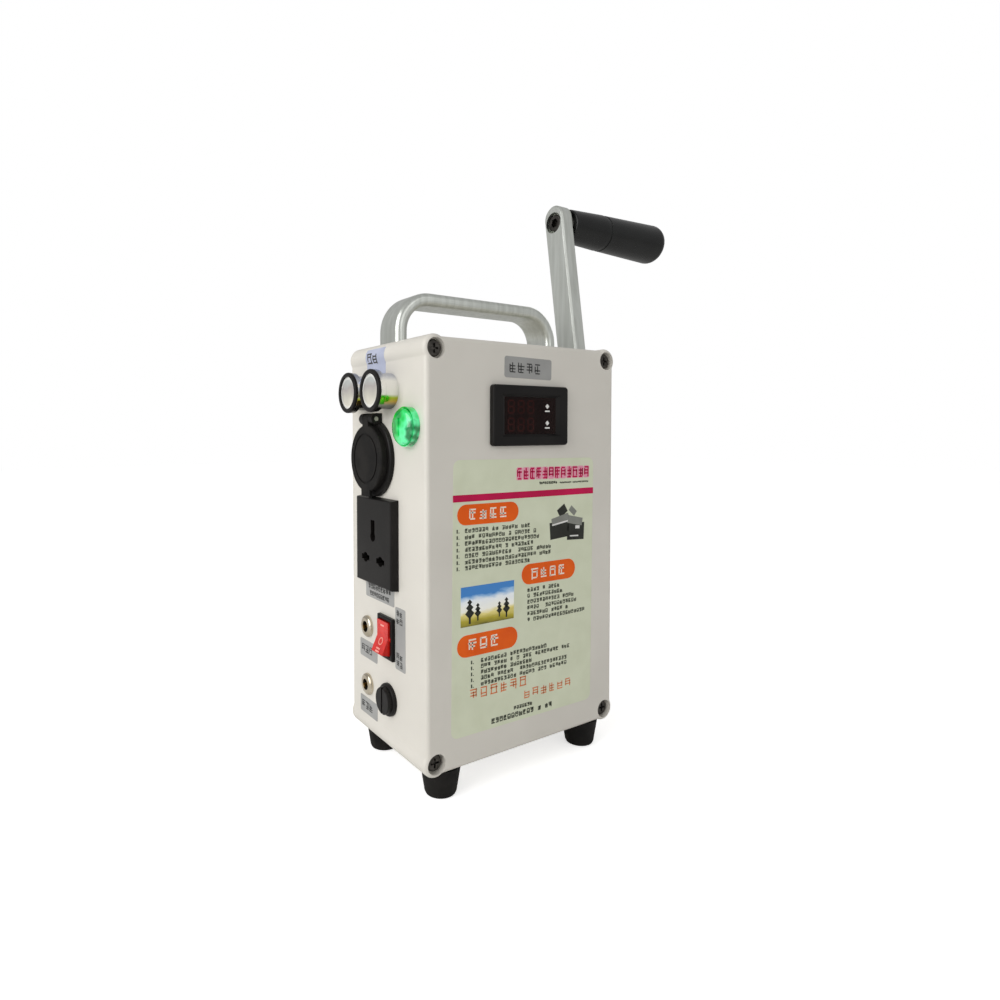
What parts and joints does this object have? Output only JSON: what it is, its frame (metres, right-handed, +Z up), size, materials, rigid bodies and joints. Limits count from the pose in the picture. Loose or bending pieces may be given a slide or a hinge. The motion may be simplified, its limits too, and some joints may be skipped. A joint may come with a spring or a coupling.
{
  "type": "hand crank generator",
  "caption": "Upright off-white box with a long side crank and black grip, a bar handle on top, rubber feet, a small meter in front, and lamps, sockets and a rocker switch on the left.",
  "frame": {"origin": "on the floor under the middle of the box, in the plane that the four feet stand on", "axes": "+Z up, -Y towards the printed front, +X towards the side with the crank"},
  "size_m": [0.2355, 0.0795, 0.3122],
  "materials": {
    "housing_abs": "fine moulded off-white ABS",
    "black_abs": "moulded black plastic",
    "black_rubber": "moulded black rubber",
    "grip_plastic": "hard black phenolic",
    "satin_aluminium": "satin anodised",
    "polished_aluminium": "turned and polished",
    "zinc_steel": "zinc plated",
    "black_steel": "black oxide",
    "nickel": "nickel plated",
    "brass": "plain",
    "smoked_window": "smoked acrylic",
    "lens": "pearl diffuser",
    "green_lens": "translucent green, lit",
    "red_plastic": "translucent red",
    "board": "circuit board",
    "glass": "clear",
    "iron": "laminated iron",
    "ferrite": "ferrite",
    "cell_wrap": "shrink wrap"
  },
  "bodies": {
    "root": {"rear_housing": "housing_abs", "front_lid": "housing_abs", "lid_seal": "black_rubber", "lid_screws": "black_steel", "carry_handle": "satin_aluminium", "handle_screws": "zinc_steel", "foot_front_left": "black_rubber", "foot_front_right": "black_rubber", "foot_rear_left": "black_rubber", "foot_rear_right": "black_rubber", "foot_screws": "zinc_steel", "meter_case": "black_abs", "meter_window": "smoked_window", "meter_board": "board", "lamp_front_barrel": "polished_aluminium", "lamp_front_rim": "black_abs", "lamp_front_lens": "lens", "lamp_rear_barrel": "polished_aluminium", "lamp_rear_rim": "black_abs", "lamp_rear_lens": "lens", "lamp_emitters": "lens", "button_housing": "green_lens", "panel_nuts": "zinc_steel", "socket_body": "black_abs", "socket_shell": "nickel", "socket_contact": "brass", "cap_hinge_pin": "zinc_steel", "outlet_frame": "black_abs", "outlet_contacts": "brass", "switch_frame": "black_abs", "switch_terminals": "brass", "charge_jack": "nickel", "output_jack": "nickel", "jack_cores": "brass", "fuse_holder": "black_abs", "wall_bearing": "satin_aluminium", "bearing_screws": "black_steel", "idler_pin": "zinc_steel", "generator_can": "zinc_steel", "generator_magnets": "ferrite", "gearbox_plates": "zinc_steel", "gearbox_posts": "brass", "battery_cells": "cell_wrap", "battery_cradle": "black_abs", "inverter_board": "board", "charge_board": "board"},
    "crank": {"crank_arm": "satin_aluminium", "crank_shaft": "zinc_steel", "crank_gear": "zinc_steel", "crank_screws": "black_steel", "grip_washer": "zinc_steel"},
    "grip": {"grip": "grip_plastic"},
    "idler": {"idler_gear": "zinc_steel"},
    "rotor": {"rotor_core": "iron", "rotor_pinion": "brass"},
    "button": {"lamp_button": "green_lens"},
    "cap": {"socket_cap": "black_rubber"},
    "rocker": {"rocker": "red_plastic"},
    "fuse": {"glass_fuse": "glass"},
    "fuse_cap": {"fuse_cap": "black_abs"}
  },
  "joints": [
    {"name": "crank_spin", "type": "hinge", "parent": "root", "child": "crank", "pos_m": [0.074, 0, 0.164], "axis": [1, 0, 0], "continuous": true},
    {"name": "grip_spin", "type": "hinge", "parent": "crank", "child": "grip", "pos_m": [0.12, 0.01994, 0.29954], "axis": [1, 0, 0], "continuous": true},
    {"name": "idler_spin", "type": "hinge", "parent": "root", "child": "idler", "pos_m": [0.044, 0, 0.128], "axis": [1, 0, 0], "continuous": true},
    {"name": "rotor_spin", "type": "hinge", "parent": "root", "child": "rotor", "pos_m": [0.005, 0, 0.098], "axis": [1, 0, 0], "continuous": true},
    {"name": "button_press", "type": "slide", "parent": "root", "child": "button", "axis": [1, 0, 0], "range_m": [0, 0.0025], "stiffness_N_per_m": 400},
    {"name": "cap_hinge", "type": "hinge", "parent": "root", "child": "cap", "pos_m": [-0.0632, 0.0099, 0.1773], "axis": [0, 1, 0], "range_deg": [0, 85]},
    {"name": "rocker_tilt", "type": "hinge", "parent": "root", "child": "rocker", "pos_m": [-0.061, -0.0017, 0.06987], "axis": [0, -1, 0], "range_deg": [0, 24]},
    {"name": "fuse_draw", "type": "slide", "parent": "root", "child": "fuse", "axis": [-1, 0, 0], "range_m": [0, 0.03]},
    {"name": "fuse_turn", "type": "hinge", "parent": "fuse", "child": "fuse_cap", "pos_m": [-0.062, -0.0029, 0.039], "axis": [-1, 0, 0], "range_deg": [0, 90]}
  ],
  "couplings": [
    {"joint": "idler_spin", "follows": "crank_spin", "ratio": -5},
    {"joint": "rotor_spin", "follows": "crank_spin", "ratio": 20}
  ]
}
